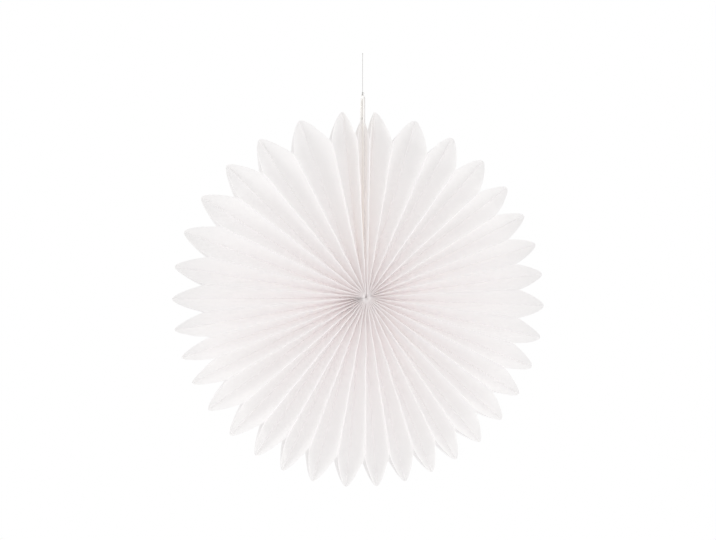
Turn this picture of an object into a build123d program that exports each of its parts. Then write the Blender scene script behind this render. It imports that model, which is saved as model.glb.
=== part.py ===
from build123d import *

import math
import os

# Hanging paper fan rosette: a white tissue disc that opens out flat from a bundle of leaves.
# The disc lies in the XZ plane with its axis along Y. Its front faces -Y and +Z is up.
# The origin is the top of the hanging string, so the whole fan hangs below it.
# Angles run clockwise from straight up, as seen from the front. All sizes are in millimetres.
#
# Each petal is two die-cut tissue leaves glued to each other along the middle of their depth.
# Neighbouring petals are glued along their front edges and along their back edges, from the hub
# out to the notches. A cut across the petals is a row of diamond cells with V-shaped troughs
# between them. Past the notches each petal stands free and runs out to its tip.

# Tissue leaves
leaf_reach = 200.0            # hub axis to petal tip
glue_reach = 162.0            # hub axis to the end of the glued front and back edges
hub_radius = 2.6              # inner ends of the leaves
hub_depth = 58.0              # front to back at the hub
rim_depth = 50.0              # front to back where the glued edges end
tissue_thickness = 0.2
glue_width = 3.0              # width of each glue line
tip_round = 4.0               # rounding of the cut tip
tip_overshoot = 2.5           # how far the sharp outline would pass the rounded tip
outline_bulge = 1.6           # how far the cut edge bows out from straight
seam_hub_offset = 0.3         # half the width of the closing gap at the hub

# How far each petal is opened, as shares of an even opening, clockwise from the seam at the top
petal_opening_shares = (
    0.85, 1.35, 1.2, 1.2, 1.05, 1.0, 0.95, 0.95, 1.05, 0.95, 0.95, 0.95,
    0.95, 1.0, 0.85, 0.85, 0.9, 0.9, 1.0, 1.05, 0.9, 0.95, 1.0, 1.0,
    0.85, 0.8, 0.9, 0.95, 1.0, 1.15, 1.2, 1.25, 1.3, 1.45, 0.95,
)
right_end_opening_share = 0.15
left_end_opening_share = 0.3
first_spine_share = 0.25      # the first petal leans towards the seam
last_spine_share = 0.65       # the last petal leans towards the seam
middle_spine_share = 0.5

# Thread ring that holds the inner ends together
tie_ring_radius = 8.0
tie_thread_diameter = 1.0
tie_hole_clearance = 0.1

# Stiff cards on the two end leaves
card_thickness = 0.5
card_depth = 30.0
card_bottom_reach = 40.0
card_overhang = 14.0          # card tops beyond the petal tips
card_corner_round = 6.0

# Wire clip that holds the two cards together
clip_wire_diameter = 0.9
clip_length = 28.0
clip_outer_width = 7.0
clip_top_width = 6.0
clip_inner_width = 5.0
clip_stand_off = 5.0          # clip top above the card tops
clip_free_leg = 8.0           # outer leg's end above the middle of the clip
clip_inner_drop = 7.0         # inner loop's lower end above the outer loop's lower end
clip_inner_leg = 6.0          # inner leg's end above the middle of the clip
clip_clearance = 0.05
leaf_clip_gap = 1.0           # between the clip's lower end and the end leaves' tips

# Hanging string, looped round the top of the clip and knotted at both ends
string_diameter = 0.6
string_run = 41.0             # straight stretch between the two knots
knot_diameter = 1.8
end_knot_diameter = 1.4
string_clearance = 0.1
knot_sink = 0.15              # how far the lower knot sits into its loop

# Sizes worked out from those above
half_glue = glue_width / 2
half_hub_depth = hub_depth / 2
half_rim_depth = rim_depth / 2
outer_reach = leaf_reach + tip_overshoot
card_top_reach = leaf_reach + card_overhang
end_leaf_reach = card_top_reach + clip_stand_off - clip_length - leaf_clip_gap
string_radius = string_diameter / 2
knot_radius = knot_diameter / 2
end_knot_radius = end_knot_diameter / 2
clip_wire_radius = clip_wire_diameter / 2
clip_wire_top = card_top_reach + clip_stand_off - clip_wire_radius
loop_radius = clip_wire_radius + string_clearance + string_radius
knot_height = clip_wire_top + loop_radius + knot_radius - knot_sink
knot_flat = math.sqrt(knot_radius ** 2 - string_radius ** 2)
end_knot_flat = math.sqrt(end_knot_radius ** 2 - string_radius ** 2)
string_bottom = knot_height + knot_flat
string_top = string_bottom + string_run
end_knot_height = string_top + end_knot_flat
hang_height = end_knot_height + end_knot_radius


def plane_point(radius, angle):
    """A point of the disc's plane as (x, z), from its distance to the hub and its angle."""
    turn = math.radians(angle)
    return radius * math.sin(turn), radius * math.cos(turn)


def half_depth_at(radius):
    """Half the depth of the glued edges, which falls evenly from the hub outwards."""
    share = (radius - hub_radius) / (glue_reach - hub_radius)
    return half_hub_depth + share * (half_rim_depth - half_hub_depth)


def opening_angles():
    """Rim angles of the glued edges, from the right end leaf's edge round to the left one's."""
    total = right_end_opening_share + sum(petal_opening_shares) + left_end_opening_share
    angles = [360 * right_end_opening_share / total]
    for share in petal_opening_shares:
        angles.append(angles[-1] + 360 * share / total)
    return angles


def hub_angles():
    """Angles of the same edges at the hub, evenly spaced over all but the closing gap."""
    gap = math.degrees(math.asin((seam_hub_offset + 2 * tissue_thickness) / hub_radius))
    step = (360 - 2 * gap) / len(petal_opening_shares)
    return [gap + step * count for count in range(len(petal_opening_shares) + 1)]


def radial_line(hub_angle, rim_angle):
    """A glued edge or spine in the disc's plane, as its inner and outer points."""
    return plane_point(hub_radius, hub_angle), plane_point(outer_reach, rim_angle)


def between(first, second, share):
    """The value a share of the way from the first to the second."""
    return first + share * (second - first)


class LeafFrame:
    """A petal's own frame: X outwards along its spine, Y depth, Z across, on the spine line."""

    def __init__(self, spine):
        (self.x, self.z), (far_x, far_z) = spine
        length = math.hypot(far_x - self.x, far_z - self.z)
        self.along = ((far_x - self.x) / length, (far_z - self.z) / length)
        self.across = (self.along[1], -self.along[0])
        self.start = self.x * self.along[0] + self.z * self.along[1]
        self.length = length

    def local(self, point):
        """A point of the disc's plane as (distance outwards, distance across)."""
        x, z = point
        outwards = x * self.along[0] + z * self.along[1]
        across = (x - self.x) * self.across[0] + (z - self.z) * self.across[1]
        return outwards, across

    def across_at(self, line, outwards):
        """How far across a radial line lies at a distance outwards."""
        (first_out, first_across), (last_out, last_across) = (self.local(point) for point in line)
        share = (outwards - first_out) / (last_out - first_out)
        return between(first_across, last_across, share)

    def location(self):
        """Where the frame stands: local X along the spine, local Y along the fan's axis."""
        origin = (
            self.x - self.start * self.along[0],
            0,
            self.z - self.start * self.along[1] - hang_height,
        )
        across = (self.across[0], 0, self.across[1])
        along = (self.along[0], 0, self.along[1])
        # X outwards and Y to the back make Z point against the clockwise side
        return Plane(origin=origin, x_dir=along, z_dir=tuple(-part for part in across)).location


def side_points(depth, edge, side):
    """One side of a petal's section, from the front trough round to the back trough."""
    inner = edge - tissue_thickness
    return [
        (-depth + glue_width, side * inner),
        (-depth, side * inner),
        (-depth, side * edge),
        (-depth + glue_width, side * edge),
        (-half_glue, side * tissue_thickness),
        (half_glue, side * tissue_thickness),
        (depth - glue_width, side * edge),
        (depth, side * edge),
        (depth, side * inner),
        (depth - glue_width, side * inner),
    ]


def petal_section(outwards, left_edge, right_edge):
    """A petal's X-shaped section at a distance outwards, in its own frame."""
    depth = half_depth_at(outwards)
    right = side_points(depth, right_edge, 1)
    left = side_points(depth, left_edge, -1)
    return [(-half_glue, 0)] + right + [(half_glue, 0)] + left[::-1]


def end_section(outwards, spine_face, edge):
    """An end leaf's section: one sheet from its glued middle out to its glued edges."""
    depth = half_depth_at(outwards)
    inner = edge - tissue_thickness
    return [
        (-half_glue, spine_face),
        (-depth + glue_width, inner),
        (-depth, inner),
        (-depth, edge),
        (-depth + glue_width, edge),
        (-half_glue, spine_face + tissue_thickness),
        (half_glue, spine_face + tissue_thickness),
        (depth - glue_width, edge),
        (depth, edge),
        (depth, inner),
        (depth - glue_width, inner),
        (half_glue, spine_face),
    ]


def section_wire(outwards, points, side=1):
    """A closed section in the local frame; local Z points against the clockwise side."""
    corners = [Vector(outwards, depth, -side * across) for depth, across in points]
    return Wire.make_polygon(corners, close=True)


def leaf_outline(reach):
    """The cut outline: glued edges, bowed cuts to the tip, and the rounded tip."""
    corner = Vector(glue_reach, -half_depth_at(glue_reach))
    tip = Vector(reach + tip_overshoot, 0)
    chord = tip - corner
    bow = Vector(chord.Y, -chord.X).normalized() * outline_bulge
    middle = corner + chord * 0.5 + bow
    inner_reach = hub_radius - glue_width
    inner_half = half_hub_depth + glue_width
    with BuildSketch() as sketch:
        with BuildLine():
            Line((inner_reach, -inner_half), corner)
            ThreePointArc(corner, middle, tip)
            ThreePointArc(tip, (middle.X, -middle.Y), (corner.X, -corner.Y))
            Line((corner.X, -corner.Y), (inner_reach, inner_half))
            Line((inner_reach, inner_half), (inner_reach, -inner_half))
        make_face()
        fillet(sketch.vertices().sort_by(Axis.X)[-1], radius=tip_round)
    return sketch.sketch


def tie_ring(thread_diameter):
    """The thread ring through the leaves, round the fan's axis."""
    ring = Solid.make_torus(tie_ring_radius, thread_diameter / 2)
    return Pos(0, 0, -hang_height) * Rot(90, 0, 0) * ring


def cut_to_outline(blank, outline):
    """A lofted blank cut to the leaf's outline, through its whole width."""
    cutter = extrude(outline, amount=leaf_reach, both=True)
    return blank & cutter


def petal(left_line, right_line, spine, outline):
    """Two leaves glued back to back along the spine."""
    frame = LeafFrame(spine)
    wires = []
    for outwards in (hub_radius, outer_reach):
        left = -frame.across_at(left_line, outwards)
        right = frame.across_at(right_line, outwards)
        wires.append(section_wire(outwards, petal_section(outwards, left, right)))
    blank = Solid.make_loft(wires, ruled=True)
    leaf_pair = frame.location() * cut_to_outline(blank, outline)
    return leaf_pair - tie_ring(tie_thread_diameter + 2 * tie_hole_clearance)


def end_leaf(edge_line, side, outline):
    """The single leaf between a card and the nearest petal, to one side of the seam."""
    frame = LeafFrame(radial_line(0, 0))
    wires = []
    for outwards in (hub_radius, card_bottom_reach, outer_reach):
        edge = abs(frame.across_at(edge_line, outwards))
        face = card_thickness
        if outwards == hub_radius:
            face = seam_hub_offset
        wires.append(section_wire(outwards, end_section(outwards, face, edge), side))
    blank = Solid.make_loft(wires, ruled=True)
    leaf = frame.location() * cut_to_outline(blank, outline)
    return leaf - tie_ring(tie_thread_diameter + 2 * tie_hole_clearance)


def card(side):
    """A flat card with rounded top corners, on one side of the seam."""
    length = card_top_reach - card_bottom_reach
    middle = card_bottom_reach + length / 2
    with BuildPart() as part:
        with BuildSketch(Plane.YZ):
            with Locations((0, middle - hang_height)):
                Rectangle(card_depth, length)
        extrude(amount=side * card_thickness)
        top_corners = part.edges().filter_by(Axis.X).group_by(Axis.Z)[-1]
        fillet(top_corners, radius=card_corner_round)
    return part.part


def wire_along(path, diameter):
    """A round wire swept along a path of straight runs and tangent arcs."""
    start = path @ 0
    section = Plane(origin=start, z_dir=path % 0) * Circle(diameter / 2)
    return sweep(section, path=path)


def clip_side_offset():
    """How far the clip's wire centre stands from the seam, on either side."""
    return card_thickness + clip_clearance + clip_wire_radius


def clip_top_span():
    """The clip's top bend: from the outer loop's leg to the inner loop's leg, along Y."""
    return clip_top_width - clip_wire_diameter


def clip():
    """One bent wire: the outer loop on the left card, the inner loop on the right card."""
    side = clip_side_offset()
    top = clip_wire_top - hang_height
    bottom = top + clip_wire_diameter - clip_length
    middle = (top + bottom) / 2
    outer_span = clip_outer_width - clip_wire_diameter
    inner_span = clip_inner_width - clip_wire_diameter
    # The top bend is centred on the string, so the outer loop's back leg sets the rest
    back_leg = clip_top_span() / 2
    front_leg = back_leg - outer_span
    inner_front_leg = -back_leg
    inner_back_leg = inner_front_leg + inner_span
    bend_start = top - math.hypot(clip_top_span(), 2 * side) / 2
    outer_turn = bottom + outer_span / 2
    inner_turn = bottom + clip_inner_drop + inner_span / 2
    outer_end = Vector(-side, front_leg, middle + clip_free_leg)
    outer_front = Vector(-side, front_leg, outer_turn)
    outer_lowest = Vector(-side, front_leg + outer_span / 2, bottom)
    outer_back = Vector(-side, back_leg, outer_turn)
    bend_back = Vector(-side, back_leg, bend_start)
    bend_top = Vector(0, 0, top)
    bend_front = Vector(side, inner_front_leg, bend_start)
    inner_front = Vector(side, inner_front_leg, inner_turn)
    inner_lowest = Vector(side, inner_front_leg + inner_span / 2, bottom + clip_inner_drop)
    inner_back = Vector(side, inner_back_leg, inner_turn)
    inner_end = Vector(side, inner_back_leg, middle + clip_inner_leg)
    edges = [
        Edge.make_line(outer_end, outer_front),
        Edge.make_three_point_arc(outer_front, outer_lowest, outer_back),
        Edge.make_line(outer_back, bend_back),
        Edge.make_three_point_arc(bend_back, bend_top, bend_front),
        Edge.make_line(bend_front, inner_front),
        Edge.make_three_point_arc(inner_front, inner_lowest, inner_back),
        Edge.make_line(inner_back, inner_end),
    ]
    return wire_along(Wire(edges), clip_wire_diameter)


def knot(radius, height, flat_side):
    """A round knot with a small flat where the string's straight run meets it."""
    flat = math.sqrt(radius ** 2 - string_radius ** 2)
    ball = Pos(0, 0, height - hang_height) * Sphere(radius)
    trim = Pos(0, 0, height + flat_side * (flat + radius) - hang_height) * Box(*[2 * radius] * 3)
    return ball - trim


def lower_knot():
    """The loop round the clip's top bend and the knot that closes it."""
    along_wire = (2 * clip_side_offset(), -clip_top_span(), 0)
    centre = (0, 0, clip_wire_top - hang_height)
    ring = Plane(origin=centre, z_dir=along_wire).location * Solid.make_torus(loop_radius, string_radius)
    return knot(knot_radius, knot_height, 1) + ring


def hanging_string():
    """The straight run of the string between its knots."""
    middle = (string_bottom + string_top) / 2
    return Pos(0, 0, middle - hang_height) * Cylinder(string_radius, string_run)


def write_node(name, solid):
    """Writes one sub-part, and says its volume."""
    solid.label = name
    export_step(solid, os.path.join("parts", name + ".step"))
    print(name, round(solid.volume, 2))


def build_tissue():
    """All the petals and the two end leaves, from the seam clockwise round to it."""
    outline = leaf_outline(leaf_reach)
    end_outline = leaf_outline(end_leaf_reach)
    rim = opening_angles()
    hub = hub_angles()
    edges = [radial_line(hub_angle, rim_angle) for hub_angle, rim_angle in zip(hub, rim)]
    count = len(petal_opening_shares)
    for number in range(count):
        share = middle_spine_share
        if number == 0:
            share = first_spine_share
        elif number == count - 1:
            share = last_spine_share
        hub_angle = between(hub[number], hub[number + 1], middle_spine_share)
        rim_angle = between(rim[number], rim[number + 1], share)
        spine = radial_line(hub_angle, rim_angle)
        leaf_pair = petal(edges[number], edges[number + 1], spine, outline)
        write_node(f"petal_{number + 1:02d}", leaf_pair)
    write_node("end_leaf_right", end_leaf(edges[0], 1, end_outline))
    write_node("end_leaf_left", end_leaf(edges[-1], -1, end_outline))


def build_fittings():
    """The thread ring, the cards, the clip and the string."""
    write_node("hub_tie_ring", tie_ring(tie_thread_diameter))
    write_node("cover_card_right", card(1))
    write_node("cover_card_left", card(-1))
    write_node("wire_clip", clip())
    write_node("string_knot", lower_knot())
    write_node("hanging_string", hanging_string())
    write_node("string_end_knot", knot(end_knot_radius, end_knot_height, -1))


os.makedirs("parts", exist_ok=True)
build_tissue()
build_fittings()
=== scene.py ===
import math

import bpy
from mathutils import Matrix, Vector


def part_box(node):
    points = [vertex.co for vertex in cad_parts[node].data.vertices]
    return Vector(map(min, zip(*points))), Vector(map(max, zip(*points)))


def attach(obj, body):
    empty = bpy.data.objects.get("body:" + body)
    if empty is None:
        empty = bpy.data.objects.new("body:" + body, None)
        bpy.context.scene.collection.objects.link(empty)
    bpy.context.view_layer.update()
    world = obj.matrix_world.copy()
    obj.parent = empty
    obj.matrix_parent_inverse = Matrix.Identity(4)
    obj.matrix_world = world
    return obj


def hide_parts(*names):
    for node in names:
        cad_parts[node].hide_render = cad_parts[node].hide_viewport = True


# Hanging paper fan rosette: thin tissue leaves, cover cards, wire clip and twisted string.
# Metres throughout. The fan's axis is along Y, its front faces -Y, and +Z is up.
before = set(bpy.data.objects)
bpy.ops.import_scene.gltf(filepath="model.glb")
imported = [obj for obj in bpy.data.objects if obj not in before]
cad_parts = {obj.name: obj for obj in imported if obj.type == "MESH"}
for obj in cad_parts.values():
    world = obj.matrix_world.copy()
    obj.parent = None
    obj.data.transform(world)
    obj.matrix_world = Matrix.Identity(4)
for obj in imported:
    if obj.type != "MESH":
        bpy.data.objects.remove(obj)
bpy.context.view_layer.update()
MM = 0.001

# Leaf sizes, as in the part's source
HUB_RADIUS = 2.6 * MM
GLUE_REACH = 162.0 * MM
LEAF_REACH = 200.0 * MM
HALF_HUB_DEPTH = 29.0 * MM
HALF_RIM_DEPTH = 25.0 * MM
GLUE_WIDTH = 3.0 * MM

# Leaf sizes that only show up close
SHEET_THICKNESS = 0.2 * MM
SHEET_OFFSET = 0.101 * MM         # middle of a sheet from the glued face
CUT_BOW = 12.0 * MM               # how strongly the cut edge bows out between notch and tip
TIP_SOFTNESS = 0.15               # rounding of the tip, as a share of the half depth
PANEL_BELLY = 0.2                 # 0 is a flat panel, more opens fast at the middle line
PANEL_WAVE = 0.5 * MM             # slack of the glued panels
FREE_WAVE = 1.0 * MM              # slack of the petal ends, past the glue
WAVES_OUT = 28.0                  # waves of slack in a metre, outwards and in depth
WAVES_DEEP = 45.0
INNER_REACH = 0.6 * MM            # the thin sheets close the hub further than their solids do
DIMPLE_REACH = 4.0 * MM           # the tie draws the edges in round the very middle
DIMPLE_DEPTH = 5.0 * MM           # how far it would draw them in on the axis itself
WANDER_SHARE = 0.05               # sideways wander of glue lines near the hub, as a share of reach
MOST_WANDER = 1.2 * MM
WANDER_RUN = 15.0 * MM            # length of one wander along a glue line
WANDER_CALMING = 0.8              # share of the wander that is lost out to the rim
WANDER_VARIETY = 40.0             # how unlike the wanders of two neighbouring lines are
WANDER_SIDE_STEP = 3.0            # and those of a front and a back line
SPINE_WANDER = 0.7                # wander of a spine, as a share of that of the edges
FIRST_SEED = 1.0                  # seeds of the slack: the first petal's, and the step to the next
PETAL_SEED_STEP = 3.7
SIDE_SEED_STEP = 50.0             # from a petal's left leaf to its right one
END_LEAF_SEEDS = (400.0, 410.0)   # right, left
STEPS_OUT = 56                    # squares of a leaf from the hub to its cut edge
HUB_CROWDING = 0.5                # how much shorter the squares are at the hub
STEPS_DEEP = 40                   # squares of a leaf from front to back
SHARP_FOLD = 25.0                 # folds of more degrees than this are creased, the rest are soft
CORNER_READ = 0.6 * MM            # how near a corner of the frame is taken to be at a place

# Thread of the hanging string, its knots and the hub's tie
STRING_DIAMETER = 0.6 * MM
TIE_DIAMETER = 1.0 * MM
PLY_COUNT = 3
PLY_SHARE = 0.25                  # radius of a ply, as a share of the thread's diameter
PLY_SIDES = 8
PLY_STEP = 0.12 * MM              # length of a ply's facets
TWIST_PITCH = 2.4 * MM
LOWER_KNOT = 1.8 * MM
END_KNOT = 1.4 * MM
KNOT_STEPS = 72
KNOT_DEPTH_SHARE = 0.75           # how deep a knot is, as a share of its width
TAIL_REACH = 1.7 * MM             # cut end of the thread beside the lower knot
TAIL_BEND = 0.7                   # where it bends, and how far its end comes forward and down,
TAIL_FORWARD = 0.3                # each as a share of its reach
TAIL_DROP = 0.35
TAIL_STEPS = 10
LOOP_SLACK = 0.1 * MM             # between the clip's wire and the thread looped round it
CLIP_WIRE = 0.9 * MM
CLIP_TOP_WIDTH = 6.0 * MM

# Camera, fitted to the photograph
PHOTO_WIDTH = 716
PHOTO_HEIGHT = 540
HUB_IN_PHOTO = (362.6, 298.1)     # where the middle of the hub shows, in pixels
CAMERA_AZIMUTH = -8.5
CAMERA_ELEVATION = -2.2
CAMERA_DISTANCE = 1.15
CAMERA_SENSOR = 36.0
CAMERA_LENS = 54.3

# Stage and light
FLOOR_DROP = 0.55                 # floor below the fan's lowest tip
FLOOR_REACH = 1.25
FLOOR_SIDES = 96
FILL_LIGHT = 0.755
PLAIN_WHITE = 1.0                 # strength of what the camera sees past the object
LAMP_DISTANCE = 1.6
LAMP_SIZE = 0.8
LAMPS = (                         # name, azimuth, elevation, power in watts
    ("front_box", 0.0, 0.0, 2.6),
    ("left_box", -78.0, 3.0, 6.3),
    ("right_box", 78.0, 3.0, 5.9),
)
LIGHT_BOUNCES = 128               # light bounces many times between the narrow folds

ring_low, ring_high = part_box("hub_tie_ring")
HUB = (ring_low + ring_high) / 2
PETALS = sorted(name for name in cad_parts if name.startswith("petal_"))


# Reading the leaves' lines off the frame

def reach_of(point):
    """How far a point lies from the fan's axis."""
    return math.hypot(point.x - HUB.x, point.z - HUB.z)


def turn_from(point, middle):
    """How far clockwise a point lies from another, seen from the front, in radians."""
    turn = math.atan2(point.x - HUB.x, point.z - HUB.z) - math.atan2(middle.x - HUB.x, middle.z - HUB.z)
    return (turn + math.pi) % (2 * math.pi) - math.pi


def in_plane(point):
    """The point moved along Y to the disc's middle plane."""
    return Vector((point.x, HUB.y, point.z))


def drawn_out(inner, outer):
    """Ends at the hub and at the tip's reach of the line through two points of the plane."""
    inner, outer = in_plane(inner), in_plane(outer)
    run = (outer - inner) / (reach_of(outer) - reach_of(inner))
    return inner, inner + run * (LEAF_REACH - reach_of(inner))


def middle_of(points):
    """The mean of some points."""
    return sum(points, Vector()) / len(points)


def petal_lines(name):
    """A petal's spine and its left and right glued edges, each as an inner and an outer end."""
    points = [vertex.co.copy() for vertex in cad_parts[name].data.vertices]
    tip = middle_of([p for p in points if reach_of(p) > LEAF_REACH - CORNER_READ])
    at_hub = [p for p in points if reach_of(p) < HUB_RADIUS + CORNER_READ]
    at_notch = [
        p for p in points
        if abs(p.y) > HALF_RIM_DEPTH - CORNER_READ and reach_of(p) > GLUE_REACH - CORNER_READ
    ]

    def turn(point):
        return turn_from(point, tip)

    spine = drawn_out(middle_of(at_hub), tip)
    left = drawn_out(min(at_hub, key=turn), min(at_notch, key=turn))
    right = drawn_out(max(at_hub, key=turn), max(at_notch, key=turn))
    return spine, left, right


def card_line(card):
    """An end leaf's flat line, along the outer face of its card."""
    low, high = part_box(card)
    face = max(low.x, high.x, key=abs)
    return Vector((face, HUB.y, HUB.z + HUB_RADIUS)), Vector((face, HUB.y, HUB.z + LEAF_REACH))


# Small helpers for node trees

def set_or_link(tree, socket, value):
    """Gives a node's input a value, or links another node's output to it."""
    if isinstance(value, bpy.types.NodeSocket):
        tree.links.new(value, socket)
    else:
        socket.default_value = value


def put(tree, kind, inputs=(), **settings):
    """Adds a node with its settings and its inputs, given by name or by number."""
    node = tree.nodes.new(kind)
    for name, value in settings.items():
        setattr(node, name, value)
    for key, value in dict(inputs).items():
        set_or_link(tree, node.inputs[key], value)
    return node


def number(tree, operation, *values, clamp=False):
    """The result of a sum on numbers."""
    inputs = dict(enumerate(values))
    return put(tree, "ShaderNodeMath", inputs, operation=operation, use_clamp=clamp).outputs["Value"]


def place(tree, operation, *values):
    """The result of a sum on places."""
    inputs = dict(enumerate(values))
    return put(tree, "ShaderNodeVectorMath", inputs, operation=operation).outputs["Vector"]


def scaled(tree, vector, factor):
    """A vector made longer or shorter."""
    inputs = {0: vector, "Scale": factor}
    return put(tree, "ShaderNodeVectorMath", inputs, operation="SCALE").outputs["Vector"]


def between_places(tree, first, second, share):
    """The place a share of the way from the first to the second."""
    return place(tree, "ADD", first, scaled(tree, place(tree, "SUBTRACT", second, first), share))


def new_tree(name, sockets):
    """A geometry tree with named inputs and one geometry output."""
    tree = bpy.data.node_groups.new(name, "GeometryNodeTree")
    for label, kind, default in sockets:
        socket = tree.interface.new_socket(label, in_out="INPUT", socket_type=kind)
        if default is not None:
            socket.default_value = default
    tree.interface.new_socket("Geometry", in_out="OUTPUT", socket_type="NodeSocketGeometry")
    source = tree.nodes.new("NodeGroupInput")
    return tree, source.outputs


def finish_tree(tree, geometry, material):
    """Realizes what the tree made and gives it its material."""
    real = put(tree, "GeometryNodeRealizeInstances", {"Geometry": geometry})
    painted = put(tree, "GeometryNodeSetMaterial", {"Geometry": real.outputs[0], "Material": material})
    end = tree.nodes.new("NodeGroupOutput")
    tree.links.new(painted.outputs[0], end.inputs[0])


def made_by(tree, name, values, line=None):
    """A plain mesh object, made by a tree with these values, along a line mesh where it takes one."""
    carrier = bpy.data.objects.new(name + "_maker", line or bpy.data.meshes.new(name + "_maker"))
    bpy.context.scene.collection.objects.link(carrier)
    modifier = carrier.modifiers.new("maker", "NODES")
    modifier.node_group = tree
    for item in tree.interface.items_tree:
        if item.item_type == "SOCKET" and item.in_out == "INPUT" and item.name in values:
            modifier[item.identifier] = values[item.name]
    evaluated = carrier.evaluated_get(bpy.context.evaluated_depsgraph_get())
    mesh = bpy.data.meshes.new_from_object(evaluated)
    mesh.name = name
    bpy.data.objects.remove(carrier)
    piece = bpy.data.objects.new(name, mesh)
    bpy.context.scene.collection.objects.link(piece)
    return piece


# Materials

def new_material(name):
    """An empty node material, with its tree and its output."""
    material = bpy.data.materials.new(name)
    material.use_nodes = True
    tree = material.node_tree
    tree.nodes.clear()
    return material, tree, tree.nodes.new("ShaderNodeOutputMaterial")


def two_tones(tree, pattern, dark, pale, start=0.0, stop=1.0):
    """A colour between two tones, by a pattern's strength between its start and its stop."""
    tone = put(tree, "ShaderNodeValToRGB", {"Fac": pattern})
    low, high = tone.color_ramp.elements
    low.position, high.position = start, stop
    low.color, high.color = (*dark, 1.0), (*pale, 1.0)
    return tone.outputs["Color"]


def tissue_material():
    """White tissue: matt, cloudy when light comes through, with a fine crinkle.

    Its white is higher than real tissue's, so that the narrow folds stay as pale as they look.
    """
    material, tree, output = new_material("tissue")
    where = put(tree, "ShaderNodeTexCoord").outputs["Object"]
    cloud = put(tree, "ShaderNodeTexNoise", {"Vector": where, "Scale": 260.0, "Detail": 3.0})
    tone = two_tones(tree, cloud.outputs["Fac"], (0.996, 0.9925, 0.9925), (0.999, 0.9965, 0.9965), 0.3, 0.7)
    crinkle = put(tree, "ShaderNodeTexNoise", {"Vector": where, "Scale": 420.0, "Detail": 4.0})
    bump = put(tree, "ShaderNodeBump", {
        "Height": crinkle.outputs["Fac"], "Strength": 0.2, "Distance": 0.3 * MM,
    })
    sheet = put(tree, "ShaderNodeBsdfPrincipled", {
        "Base Color": tone, "Roughness": 0.85, "Specular IOR Level": 0.2,
        "Normal": bump.outputs["Normal"],
    })
    through = put(tree, "ShaderNodeBsdfTranslucent", {
        "Color": tone, "Normal": bump.outputs["Normal"],
    })
    mix = put(tree, "ShaderNodeMixShader", {
        "Fac": 0.65, 1: sheet.outputs["BSDF"], 2: through.outputs["BSDF"],
    })
    tree.links.new(mix.outputs["Shader"], output.inputs["Surface"])
    return material


def card_material():
    """White board, a little creamy, with short fibres and a greyer core at its cut edges."""
    material, tree, output = new_material("card")
    where = put(tree, "ShaderNodeTexCoord").outputs["Object"]
    stretch = put(tree, "ShaderNodeMapping", {"Vector": where, "Scale": (1.0, 1.0, 0.35)})
    fibre = put(tree, "ShaderNodeTexNoise", {
        "Vector": stretch.outputs["Vector"], "Scale": 900.0, "Detail": 4.0,
    })
    tone = two_tones(tree, fibre.outputs["Fac"], (0.96, 0.94, 0.915), (0.98, 0.965, 0.94), 0.3, 0.7)
    core = two_tones(tree, fibre.outputs["Fac"], (0.72, 0.70, 0.69), (0.82, 0.80, 0.79), 0.3, 0.7)
    outwards = put(tree, "ShaderNodeTexCoord").outputs["Normal"]
    facing = put(tree, "ShaderNodeSeparateXYZ", {"Vector": outwards})
    on_face = number(tree, "GREATER_THAN", number(tree, "ABSOLUTE", facing.outputs["X"]), 0.5)
    # Inputs 6 and 7 and output 2 are the mix's colours
    surface = put(tree, "ShaderNodeMix", {"Factor": on_face, 6: core, 7: tone}, data_type="RGBA")
    bump = put(tree, "ShaderNodeBump", {
        "Height": fibre.outputs["Fac"], "Strength": 0.3, "Distance": 0.1 * MM,
    })
    board = put(tree, "ShaderNodeBsdfPrincipled", {
        "Base Color": surface.outputs[2], "Roughness": 0.7, "Normal": bump.outputs["Normal"],
    })
    tree.links.new(board.outputs["BSDF"], output.inputs["Surface"])
    return material


def wire_material():
    """Drawn steel wire with faint drawing marks and dull spots."""
    material, tree, output = new_material("drawn_wire")
    where = put(tree, "ShaderNodeTexCoord").outputs["Object"]
    marks = put(tree, "ShaderNodeTexNoise", {"Vector": where, "Scale": 1500.0, "Detail": 3.0})
    dull = put(tree, "ShaderNodeMapRange", {
        "Value": marks.outputs["Fac"], "To Min": 0.2, "To Max": 0.35,
    })
    bump = put(tree, "ShaderNodeBump", {
        "Height": marks.outputs["Fac"], "Strength": 0.05, "Distance": 0.03 * MM,
    })
    wire = put(tree, "ShaderNodeBsdfPrincipled", {
        "Base Color": two_tones(tree, marks.outputs["Fac"], (0.72, 0.70, 0.68), (0.86, 0.84, 0.82)),
        "Metallic": 1.0, "Roughness": dull.outputs["Result"], "Normal": bump.outputs["Normal"],
    })
    tree.links.new(wire.outputs["BSDF"], output.inputs["Surface"])
    return material


def thread_material():
    """Pale twisted thread with a soft, fibrous surface."""
    material, tree, output = new_material("thread")
    where = put(tree, "ShaderNodeTexCoord").outputs["Object"]
    fuzz = put(tree, "ShaderNodeTexNoise", {"Vector": where, "Scale": 6000.0, "Detail": 3.0})
    bump = put(tree, "ShaderNodeBump", {
        "Height": fuzz.outputs["Fac"], "Strength": 0.4, "Distance": 0.03 * MM,
    })
    thread = put(tree, "ShaderNodeBsdfPrincipled", {
        "Base Color": two_tones(tree, fuzz.outputs["Fac"], (0.50, 0.49, 0.48), (0.68, 0.67, 0.66)),
        "Roughness": 0.8, "Sheen Weight": 0.2, "Normal": bump.outputs["Normal"],
    })
    tree.links.new(thread.outputs["BSDF"], output.inputs["Surface"])
    return material


# Leaves

LEAF_SOCKETS = [
    ("Flat start", "NodeSocketVector", None),
    ("Flat end", "NodeSocketVector", None),
    ("Edge start", "NodeSocketVector", None),
    ("Edge end", "NodeSocketVector", None),
    ("Leaf reach", "NodeSocketFloat", LEAF_REACH),
    ("Flat wander", "NodeSocketFloat", SPINE_WANDER),
    ("Seed", "NodeSocketFloat", 0.0),
]


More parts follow.
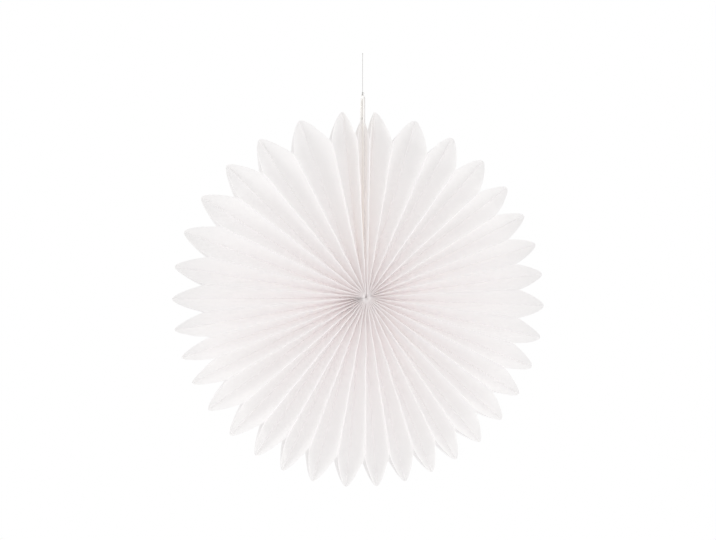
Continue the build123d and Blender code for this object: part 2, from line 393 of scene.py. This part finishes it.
def wander(tree, line, far_end, reach, side):
    """How far a line is moved round the hub at its reach: alike for all sheets glued on that line.

    It is worked out from the line's own place alone, so leaves glued to each other stay together.
    """
    hub = put(tree, "ShaderNodeCombineXYZ", {"X": HUB.x, "Y": HUB.y, "Z": HUB.z}).outputs["Vector"]
    arm = put(tree, "ShaderNodeSeparateXYZ", {"Vector": place(tree, "SUBTRACT", far_end, hub)})
    turn = number(tree, "ARCTAN2", arm.outputs["X"], arm.outputs["Z"])
    spot = put(tree, "ShaderNodeCombineXYZ", {
        "X": number(tree, "DIVIDE", reach, WANDER_RUN),
        "Y": number(tree, "MULTIPLY", turn, WANDER_VARIETY),
        "Z": number(tree, "MULTIPLY", side, WANDER_SIDE_STEP),
    })
    noise = put(tree, "ShaderNodeTexNoise", {
        "Vector": spot.outputs["Vector"], "Scale": 1.0, "Detail": 1.0,
    })
    most = number(tree, "MINIMUM", number(tree, "MULTIPLY", reach, WANDER_SHARE), MOST_WANDER)
    calm = number(tree, "MULTIPLY_ADD", reach, -WANDER_CALMING / LEAF_REACH, 1.0)
    either_way = number(tree, "MULTIPLY_ADD", noise.outputs["Fac"], 2.0, -1.0)
    amount = number(tree, "MULTIPLY", number(tree, "MULTIPLY", most, calm), either_way)
    outwards = place(tree, "NORMALIZE", place(tree, "SUBTRACT", line, hub))
    axis = put(tree, "ShaderNodeCombineXYZ", {"Y": 1.0}).outputs["Vector"]
    return scaled(tree, place(tree, "CROSS_PRODUCT", outwards, axis), amount)


def leaf_tree():
    """One tissue leaf between its flat middle line and its glued front and back edges.

    The flat line is where the leaf is glued along the middle of its depth. Its two ends, and
    those of the glued edges, are at the hub and at the reach of a whole leaf's tip.
    """
    tree, given = new_tree("tissue_leaf", LEAF_SOCKETS)
    grid = put(tree, "GeometryNodeMeshGrid", {
        "Size X": 1.0, "Size Y": 1.0, "Vertices X": STEPS_OUT + 1, "Vertices Y": STEPS_DEEP + 1,
    })
    corner = put(tree, "GeometryNodeInputPosition").outputs["Position"]
    split = put(tree, "ShaderNodeSeparateXYZ", {"Vector": corner})
    out = number(tree, "ADD", split.outputs["X"], 0.5)
    deep = number(tree, "MULTIPLY", split.outputs["Y"], 2.0)
    aside = number(tree, "ABSOLUTE", deep)

    # Cut outline, as the opened petal shows it: it bows out from the notch, and the tip is rounded
    opened = number(tree, "MULTIPLY", aside, number(tree, "SUBTRACT", 1.0, aside))
    opened = number(tree, "MULTIPLY_ADD", opened, PANEL_BELLY, aside)
    soft = number(tree, "SQRT", number(tree, "MULTIPLY_ADD", opened, opened, TIP_SOFTNESS ** 2))
    tip_bow = CUT_BOW * TIP_SOFTNESS * (1 - TIP_SOFTNESS)
    past_notch = number(tree, "SUBTRACT", given["Leaf reach"], GLUE_REACH + tip_bow)
    free = number(tree, "DIVIDE", past_notch, 1 - TIP_SOFTNESS)
    inwards = number(tree, "SUBTRACT", 1.0, soft)
    bow = number(tree, "MULTIPLY", number(tree, "MULTIPLY", soft, inwards), CUT_BOW)
    cut = number(tree, "ADD", GLUE_REACH, number(tree, "MULTIPLY_ADD", free, inwards, bow))
    crowded = number(tree, "MULTIPLY_ADD", out, 1.0 - HUB_CROWDING, HUB_CROWDING)
    crowded = number(tree, "MULTIPLY", out, crowded)
    reach = number(tree, "SUBTRACT", cut, INNER_REACH)
    reach = number(tree, "MULTIPLY_ADD", crowded, reach, INNER_REACH)
    along = number(tree, "DIVIDE", number(tree, "SUBTRACT", reach, HUB_RADIUS), LEAF_REACH - HUB_RADIUS)
    glued = number(tree, "DIVIDE", number(tree, "SUBTRACT", reach, HUB_RADIUS), GLUE_REACH - HUB_RADIUS)
    half = number(tree, "MULTIPLY_ADD", glued, HALF_RIM_DEPTH - HALF_HUB_DEPTH, HALF_HUB_DEPTH)
    inmost = number(tree, "MULTIPLY_ADD", reach, -1 / DIMPLE_REACH, 1.0, clamp=True)
    half = number(tree, "MULTIPLY_ADD", inmost, -DIMPLE_DEPTH, half)
    depth = number(tree, "MULTIPLY", deep, half)

    # How far the leaf has swung from its flat line to its glued edge at this depth
    beyond = number(tree, "SUBTRACT", reach, GLUE_REACH)
    beyond = number(tree, "DIVIDE", beyond, LEAF_REACH - GLUE_REACH, clamp=True)
    strip = number(tree, "MULTIPLY", number(tree, "SUBTRACT", 1.0, beyond), GLUE_WIDTH / 2)
    past_glue = number(tree, "SUBTRACT", number(tree, "ABSOLUTE", depth), strip)
    slope = number(tree, "SUBTRACT", half, number(tree, "ADD", strip, GLUE_WIDTH))
    flat = number(tree, "DIVIDE", past_glue, slope, clamp=True)
    belly = number(tree, "MULTIPLY", flat, number(tree, "SUBTRACT", 1.0, flat))
    belly_peak = 0.25
    swung = number(tree, "MULTIPLY_ADD", belly, PANEL_BELLY, flat)

    # Slack in the sheet, nothing where it is glued
    spot = put(tree, "ShaderNodeCombineXYZ", {
        "X": number(tree, "MULTIPLY", reach, WAVES_OUT), "Y": number(tree, "MULTIPLY", depth, WAVES_DEEP),
    })
    noise = put(tree, "ShaderNodeTexNoise", {
        "Vector": spot.outputs["Vector"], "W": given["Seed"], "Scale": 1.0, "Detail": 1.0,
    }, noise_dimensions="4D")
    lift = number(tree, "SUBTRACT", noise.outputs["Fac"], 0.5)
    loose = number(tree, "MULTIPLY", belly, 1 / belly_peak)
    panel = number(tree, "MULTIPLY", number(tree, "MULTIPLY", lift, loose), 2 * PANEL_WAVE)
    flutter = number(tree, "MULTIPLY", number(tree, "MULTIPLY", lift, beyond), flat)
    flutter = number(tree, "MULTIPLY", flutter, 2 * FREE_WAVE)
    slack = number(tree, "ADD", panel, flutter)

    # Both lines stand half a sheet and a little glue inside the faces that they are glued to
    across = place(tree, "NORMALIZE", place(tree, "SUBTRACT", given["Edge end"], given["Flat end"]))
    flat_line = between_places(tree, given["Flat start"], given["Flat end"], along)
    edge_line = between_places(tree, given["Edge start"], given["Edge end"], along)
    flat_move = wander(tree, flat_line, given["Flat end"], reach, 0.0)
    flat_line = place(tree, "ADD", flat_line, scaled(tree, flat_move, given["Flat wander"]))
    front_or_back = number(tree, "SIGN", deep)
    edge_move = wander(tree, edge_line, given["Edge end"], reach, front_or_back)
    edge_line = place(tree, "ADD", edge_line, edge_move)
    flat_line = place(tree, "ADD", flat_line, scaled(tree, across, SHEET_OFFSET))
    edge_line = place(tree, "SUBTRACT", edge_line, scaled(tree, across, SHEET_OFFSET))
    spot = between_places(tree, flat_line, edge_line, swung)
    spot = place(tree, "ADD", spot, scaled(tree, across, slack))
    depth_step = put(tree, "ShaderNodeCombineXYZ", {"Y": depth}).outputs["Vector"]
    spot = place(tree, "ADD", spot, depth_step)
    moved = put(tree, "GeometryNodeSetPosition", {"Geometry": grid.outputs["Mesh"], "Position": spot})
    end = tree.nodes.new("NodeGroupOutput")
    tree.links.new(moved.outputs[0], end.inputs[0])
    return tree


def petal_tree(leaf, material):
    """Two leaves glued to each other along the middle of their depth."""
    sockets = [
        ("Spine start", "NodeSocketVector", None), ("Spine end", "NodeSocketVector", None),
        ("Left start", "NodeSocketVector", None), ("Left end", "NodeSocketVector", None),
        ("Right start", "NodeSocketVector", None), ("Right end", "NodeSocketVector", None),
        ("Seed", "NodeSocketFloat", 0.0),
    ]
    tree, given = new_tree("petal", sockets)
    both = tree.nodes.new("GeometryNodeJoinGeometry")
    for side, step in (("Left", 0.0), ("Right", SIDE_SEED_STEP)):
        half = tree.nodes.new("GeometryNodeGroup")
        half.node_tree = leaf
        tree.links.new(given["Spine start"], half.inputs["Flat start"])
        tree.links.new(given["Spine end"], half.inputs["Flat end"])
        tree.links.new(given[side + " start"], half.inputs["Edge start"])
        tree.links.new(given[side + " end"], half.inputs["Edge end"])
        tree.links.new(number(tree, "ADD", given["Seed"], step), half.inputs["Seed"])
        tree.links.new(half.outputs[0], both.inputs[0])
    finish_tree(tree, both.outputs[0], material)
    return tree


def end_leaf_tree(leaf, material):
    """A single leaf, glued to its card along the middle of its depth."""
    tree, given = new_tree("end_leaf", LEAF_SOCKETS)
    single = tree.nodes.new("GeometryNodeGroup")
    single.node_tree = leaf
    for label, _, _ in LEAF_SOCKETS:
        tree.links.new(given[label], single.inputs[label])
    finish_tree(tree, single.outputs[0], material)
    return tree


def thicken(piece):
    """Gives the sheets of a piece their thickness, evenly to both sides."""
    modifier = piece.modifiers.new("sheet", "SOLIDIFY")
    modifier.thickness = SHEET_THICKNESS
    modifier.offset = 0.0
    modifier.use_even_offset = False
    evaluated = piece.evaluated_get(bpy.context.evaluated_depsgraph_get())
    mesh = bpy.data.meshes.new_from_object(evaluated)
    piece.modifiers.clear()
    piece.data = mesh
    mesh.name = piece.name
    mesh.shade_smooth()
    mesh.set_sharp_from_angle(angle=math.radians(SHARP_FOLD))


def finish_leaves(piece, node):
    """Thickness and body of a piece that stands for a node of tissue, whose solid is hidden."""
    thicken(piece)
    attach(piece, "root")
    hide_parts(node)


def make_leaves(material):
    """All the petals and the two end leaves, in place of their solids."""
    leaf = leaf_tree()
    petal_maker = petal_tree(leaf, material)
    end_maker = end_leaf_tree(leaf, material)
    lines = {name: petal_lines(name) for name in PETALS}
    for count, name in enumerate(PETALS):
        spine, left, right = lines[name]
        piece = made_by(petal_maker, name + "_leaves", {
            "Spine start": spine[0], "Spine end": spine[1],
            "Left start": left[0], "Left end": left[1],
            "Right start": right[0], "Right end": right[1],
            "Seed": FIRST_SEED + PETAL_SEED_STEP * count,
        })
        finish_leaves(piece, name)
    _, first_left, _ = lines[PETALS[0]]
    _, _, last_right = lines[PETALS[-1]]
    ends = (
        ("end_leaf_right", "cover_card_right", first_left, END_LEAF_SEEDS[0]),
        ("end_leaf_left", "cover_card_left", last_right, END_LEAF_SEEDS[1]),
    )
    for name, card, edge, seed in ends:
        flat = card_line(card)
        piece = made_by(end_maker, name + "_sheet", {
            "Flat start": flat[0], "Flat end": flat[1], "Edge start": edge[0], "Edge end": edge[1],
            "Leaf reach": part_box(name)[1].z - HUB.z, "Flat wander": 0.0, "Seed": seed,
        })
        finish_leaves(piece, name)


# Cards and clip keep their solids

def finish_node(name, material):
    """Gives a solid of the frame its material."""
    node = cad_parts[name]
    node.data.materials.clear()
    node.data.materials.append(material)


# Thread

def thread_tree(material):
    """Plies twisted round the line that the tree is given."""
    tree, given = new_tree("twisted_thread", [
        ("Line", "NodeSocketGeometry", None),
        ("Plies", "NodeSocketInt", PLY_COUNT),
        ("Pitch", "NodeSocketFloat", TWIST_PITCH),
        ("Diameter", "NodeSocketFloat", STRING_DIAMETER),
    ])
    line = put(tree, "GeometryNodeMeshToCurve", {"Mesh": given["Line"]})
    even = put(tree, "GeometryNodeResampleCurve", {
        "Curve": line.outputs[0], "Length": PLY_STEP,
    }, mode="LENGTH")
    plies = put(tree, "GeometryNodeDuplicateElements", {
        "Geometry": even.outputs[0], "Amount": given["Plies"],
    }, domain="SPLINE")
    share = number(tree, "DIVIDE", plies.outputs["Duplicate Index"], given["Plies"])
    run = put(tree, "GeometryNodeSplineParameter").outputs["Length"]
    turns = number(tree, "ADD", share, number(tree, "DIVIDE", run, given["Pitch"]))
    angle = number(tree, "MULTIPLY", turns, 2 * math.pi)
    normal = put(tree, "GeometryNodeInputNormal").outputs["Normal"]
    side = place(tree, "CROSS_PRODUCT", put(tree, "GeometryNodeInputTangent").outputs[0], normal)
    thin = number(tree, "MULTIPLY", given["Diameter"], PLY_SHARE)
    apart = number(tree, "SUBTRACT", number(tree, "MULTIPLY", given["Diameter"], 0.5), thin)
    away = place(
        tree, "ADD",
        scaled(tree, normal, number(tree, "COSINE", angle)), scaled(tree, side, number(tree, "SINE", angle)),
    )
    twisted = put(tree, "GeometryNodeSetPosition", {
        "Geometry": plies.outputs["Geometry"], "Offset": scaled(tree, away, apart),
    })
    section = put(tree, "GeometryNodeCurvePrimitiveCircle", {"Resolution": PLY_SIDES, "Radius": thin})
    tubes = put(tree, "GeometryNodeCurveToMesh", {
        "Curve": twisted.outputs[0], "Profile Curve": section.outputs[0], "Fill Caps": True,
    })
    finish_tree(tree, tubes.outputs[0], material)
    return tree


def line_mesh(name, lines):
    """A mesh of open or closed lines, each given as its places and whether it closes."""
    places, links = [], []
    for points, closed in lines:
        first = len(places)
        places += points
        links += [(first + step, first + step + 1) for step in range(len(points) - 1)]
        if closed:
            links.append((len(places) - 1, first))
    mesh = bpy.data.meshes.new(name)
    mesh.from_pydata(places, links, [])
    return mesh


def spin(tree, name, line, diameter, node):
    """Twisted thread along a line mesh, in place of a solid of the frame."""
    piece = made_by(tree, name, {"Diameter": diameter}, line)
    piece.data.shade_smooth()
    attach(piece, "root")
    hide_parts(node)
    return piece


def circle_line(centre, radius, first, second):
    """A closed circle of places in the plane of two directions."""
    turns = [2 * math.pi * step / KNOT_STEPS for step in range(KNOT_STEPS)]
    return [centre + (first * math.cos(turn) + second * math.sin(turn)) * radius for turn in turns]


def knot_line(centre, width):
    """The closed three-lobed course of the thread in a tight overhand knot."""
    reach = (width - STRING_DIAMETER) / 2
    rounds, lobes = 2, 3
    points = []
    for step in range(KNOT_STEPS):
        turn = 2 * math.pi * step / KNOT_STEPS
        out = reach * (rounds + math.cos(lobes * turn)) / (rounds + 1)
        deep = reach * KNOT_DEPTH_SHARE * math.sin(lobes * turn)
        around = rounds * turn
        points.append(centre + Vector((out * math.cos(around), deep, out * math.sin(around))))
    return points


def bent_line(start, middle, end):
    """A smooth bend from one place to another, drawn towards the middle one."""
    shares = [step / TAIL_STEPS for step in range(TAIL_STEPS + 1)]
    return [start.lerp(middle, share).lerp(middle.lerp(end, share), share) for share in shares]


def string_route(start, stop):
    """The straight run's line mesh and its places, read off its spline."""
    curve = bpy.data.curves.new("hanging_string_line", "CURVE")
    curve.dimensions = "3D"
    spline = curve.splines.new("NURBS")
    spline.points.add(3)
    for count, point in enumerate(spline.points):
        point.co = (*start.lerp(stop, count / 3), 1.0)
    spline.order_u = 3
    spline.use_endpoint_u = True
    carrier = bpy.data.objects.new("hanging_string_line", curve)
    bpy.context.scene.collection.objects.link(carrier)
    evaluated = carrier.evaluated_get(bpy.context.evaluated_depsgraph_get())
    mesh = bpy.data.meshes.new_from_object(evaluated)
    bpy.data.objects.remove(carrier)
    return mesh, [vertex.co.copy() for vertex in mesh.vertices]


def make_string(tree):
    """The straight run of the string, with the loop and knot below it and the knot above it."""
    low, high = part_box("hanging_string")
    start, stop = Vector((0.0, 0.0, low.z)), Vector((0.0, 0.0, high.z))
    clip_low, clip_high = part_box("wire_clip")
    eye = Vector((0.0, 0.0, clip_high.z - CLIP_WIRE / 2))
    bend = Vector((clip_high.x - clip_low.x - CLIP_WIRE, CLIP_WIRE - CLIP_TOP_WIDTH, 0.0)).normalized()
    up = Vector((0.0, 0.0, 1.0))
    loop = circle_line(eye, CLIP_WIRE / 2 + LOOP_SLACK + STRING_DIAMETER / 2, up, bend.cross(up))
    middle = start - up * (LOWER_KNOT - STRING_DIAMETER) / 2
    tail_bend = middle + Vector((TAIL_REACH * TAIL_BEND, 0.0, 0.0))
    tail_end = middle + Vector((TAIL_REACH, -TAIL_REACH * TAIL_FORWARD, -TAIL_REACH * TAIL_DROP))
    lines = [
        (loop, True), (knot_line(middle, LOWER_KNOT), True),
        (bent_line(middle, tail_bend, tail_end), False),
    ]
    lower = spin(tree, "string_knot_thread", line_mesh("lower_knot", lines), STRING_DIAMETER, "string_knot")
    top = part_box("string_end_knot")[1] - up * (END_KNOT / 2)
    crown = Vector((0.0, 0.0, top.z))
    lines = [(knot_line(crown, END_KNOT), True)]
    upper = spin(tree, "string_end_thread", line_mesh("end_knot", lines), STRING_DIAMETER, "string_end_knot")
    line, route = string_route(start, stop)
    cord = spin(tree, "hanging_string_thread", line, STRING_DIAMETER, "hanging_string")


def make_tie(tree):
    """The thread ring through the inner ends of the leaves."""
    radius = (ring_high.x - ring_low.x - TIE_DIAMETER) / 2
    ring = circle_line(HUB, radius, Vector((1.0, 0.0, 0.0)), Vector((0.0, 0.0, 1.0)))
    spin(tree, "hub_tie_thread", line_mesh("tie_ring", [(ring, True)]), TIE_DIAMETER, "hub_tie_ring")


# Stage, light and camera

def toward(azimuth, elevation):
    """The unit direction from the object to a viewer at these angles."""
    turn, rise = math.radians(azimuth), math.radians(elevation)
    return Vector((
        math.sin(turn) * math.cos(rise), -math.cos(turn) * math.cos(rise), math.sin(rise),
    ))


def make_camera():
    """The photograph's camera: a little to the left and below, aimed at the hub."""
    data = bpy.data.cameras.new("camera")
    data.sensor_width = CAMERA_SENSOR
    data.lens = CAMERA_LENS
    data.shift_x = -(HUB_IN_PHOTO[0] - PHOTO_WIDTH / 2) / PHOTO_WIDTH
    data.shift_y = (HUB_IN_PHOTO[1] - PHOTO_HEIGHT / 2) / PHOTO_WIDTH
    camera = bpy.data.objects.new("camera", data)
    offset = toward(CAMERA_AZIMUTH, CAMERA_ELEVATION)
    camera.location = HUB + offset * CAMERA_DISTANCE
    camera.rotation_euler = (-offset).to_track_quat("-Z", "Y").to_euler()
    bpy.context.scene.collection.objects.link(camera)
    bpy.context.scene.camera = camera


def make_lamp(name, azimuth, elevation, power):
    """A soft square lamp aimed at the hub."""
    data = bpy.data.lights.new(name, "AREA")
    data.size = LAMP_SIZE
    data.energy = power
    lamp = bpy.data.objects.new(name, data)
    offset = toward(azimuth, elevation)
    lamp.location = HUB + offset * LAMP_DISTANCE
    lamp.rotation_euler = (-offset).to_track_quat("-Z", "Y").to_euler()
    bpy.context.scene.collection.objects.link(lamp)


def make_world():
    """Even fill light, and plain white where the camera sees past the object.

    Polished and clear surfaces show the white as well, but light that soaks through the tissue,
    whose rays count as transmitted and as diffuse, comes from the fill.
    """
    world = bpy.data.worlds.new("studio")
    world.use_nodes = True
    tree = world.node_tree
    tree.nodes.clear()
    path = put(tree, "ShaderNodeLightPath")
    direct = number(tree, "MAXIMUM", path.outputs["Is Camera Ray"], path.outputs["Is Glossy Ray"])
    clear = number(
        tree, "SUBTRACT", path.outputs["Is Transmission Ray"], path.outputs["Is Diffuse Ray"], clamp=True,
    )
    seen = number(tree, "MAXIMUM", direct, clear)
    light = put(tree, "ShaderNodeBackground", {"Color": (1.0, 0.99, 0.985, 1.0), "Strength": FILL_LIGHT})
    back = put(tree, "ShaderNodeBackground", {"Color": (1.0, 1.0, 1.0, 1.0), "Strength": PLAIN_WHITE})
    mix = put(tree, "ShaderNodeMixShader", {
        "Fac": seen, 1: light.outputs["Background"], 2: back.outputs["Background"],
    })
    output = tree.nodes.new("ShaderNodeOutputWorld")
    tree.links.new(mix.outputs["Shader"], output.inputs["Surface"])
    bpy.context.scene.world = world


def make_floor():
    """A pale floor well below the hanging fan."""
    low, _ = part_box(PETALS[len(PETALS) // 2])
    mesh = bpy.data.meshes.new("floor")
    height = low.z - FLOOR_DROP
    turns = [2 * math.pi * step / FLOOR_SIDES for step in range(FLOOR_SIDES)]
    rim = [(FLOOR_REACH * math.cos(turn), FLOOR_REACH * math.sin(turn), height) for turn in turns]
    mesh.from_pydata(rim, [], [list(range(FLOOR_SIDES))])
    floor = bpy.data.objects.new("floor", mesh)
    bpy.context.scene.collection.objects.link(floor)
    material, tree, output = new_material("floor_paint")
    where = put(tree, "ShaderNodeTexCoord").outputs["Object"]
    grain = put(tree, "ShaderNodeTexNoise", {"Vector": where, "Scale": 3.0, "Detail": 2.0})
    tone = two_tones(tree, grain.outputs["Fac"], (0.86, 0.86, 0.86), (0.9, 0.9, 0.9))
    paint = put(tree, "ShaderNodeBsdfPrincipled", {"Base Color": tone, "Roughness": 0.9})
    tree.links.new(paint.outputs["BSDF"], output.inputs["Surface"])
    mesh.materials.append(material)


make_camera()
thread = thread_material()
threads = thread_tree(thread)
make_string(threads)
tissue = tissue_material()
make_leaves(tissue)
card = card_material()
finish_node("cover_card_right", card)
finish_node("cover_card_left", card)
finish_node("wire_clip", wire_material())
make_tie(threads)
make_floor()
make_world()
for name, azimuth, elevation, power in LAMPS:
    make_lamp(name, azimuth, elevation, power)
bpy.context.scene.view_settings.view_transform = "Standard"
bpy.context.scene.cycles.max_bounces = LIGHT_BOUNCES
bpy.context.scene.cycles.diffuse_bounces = LIGHT_BOUNCES
bpy.context.scene.cycles.transmission_bounces = LIGHT_BOUNCES
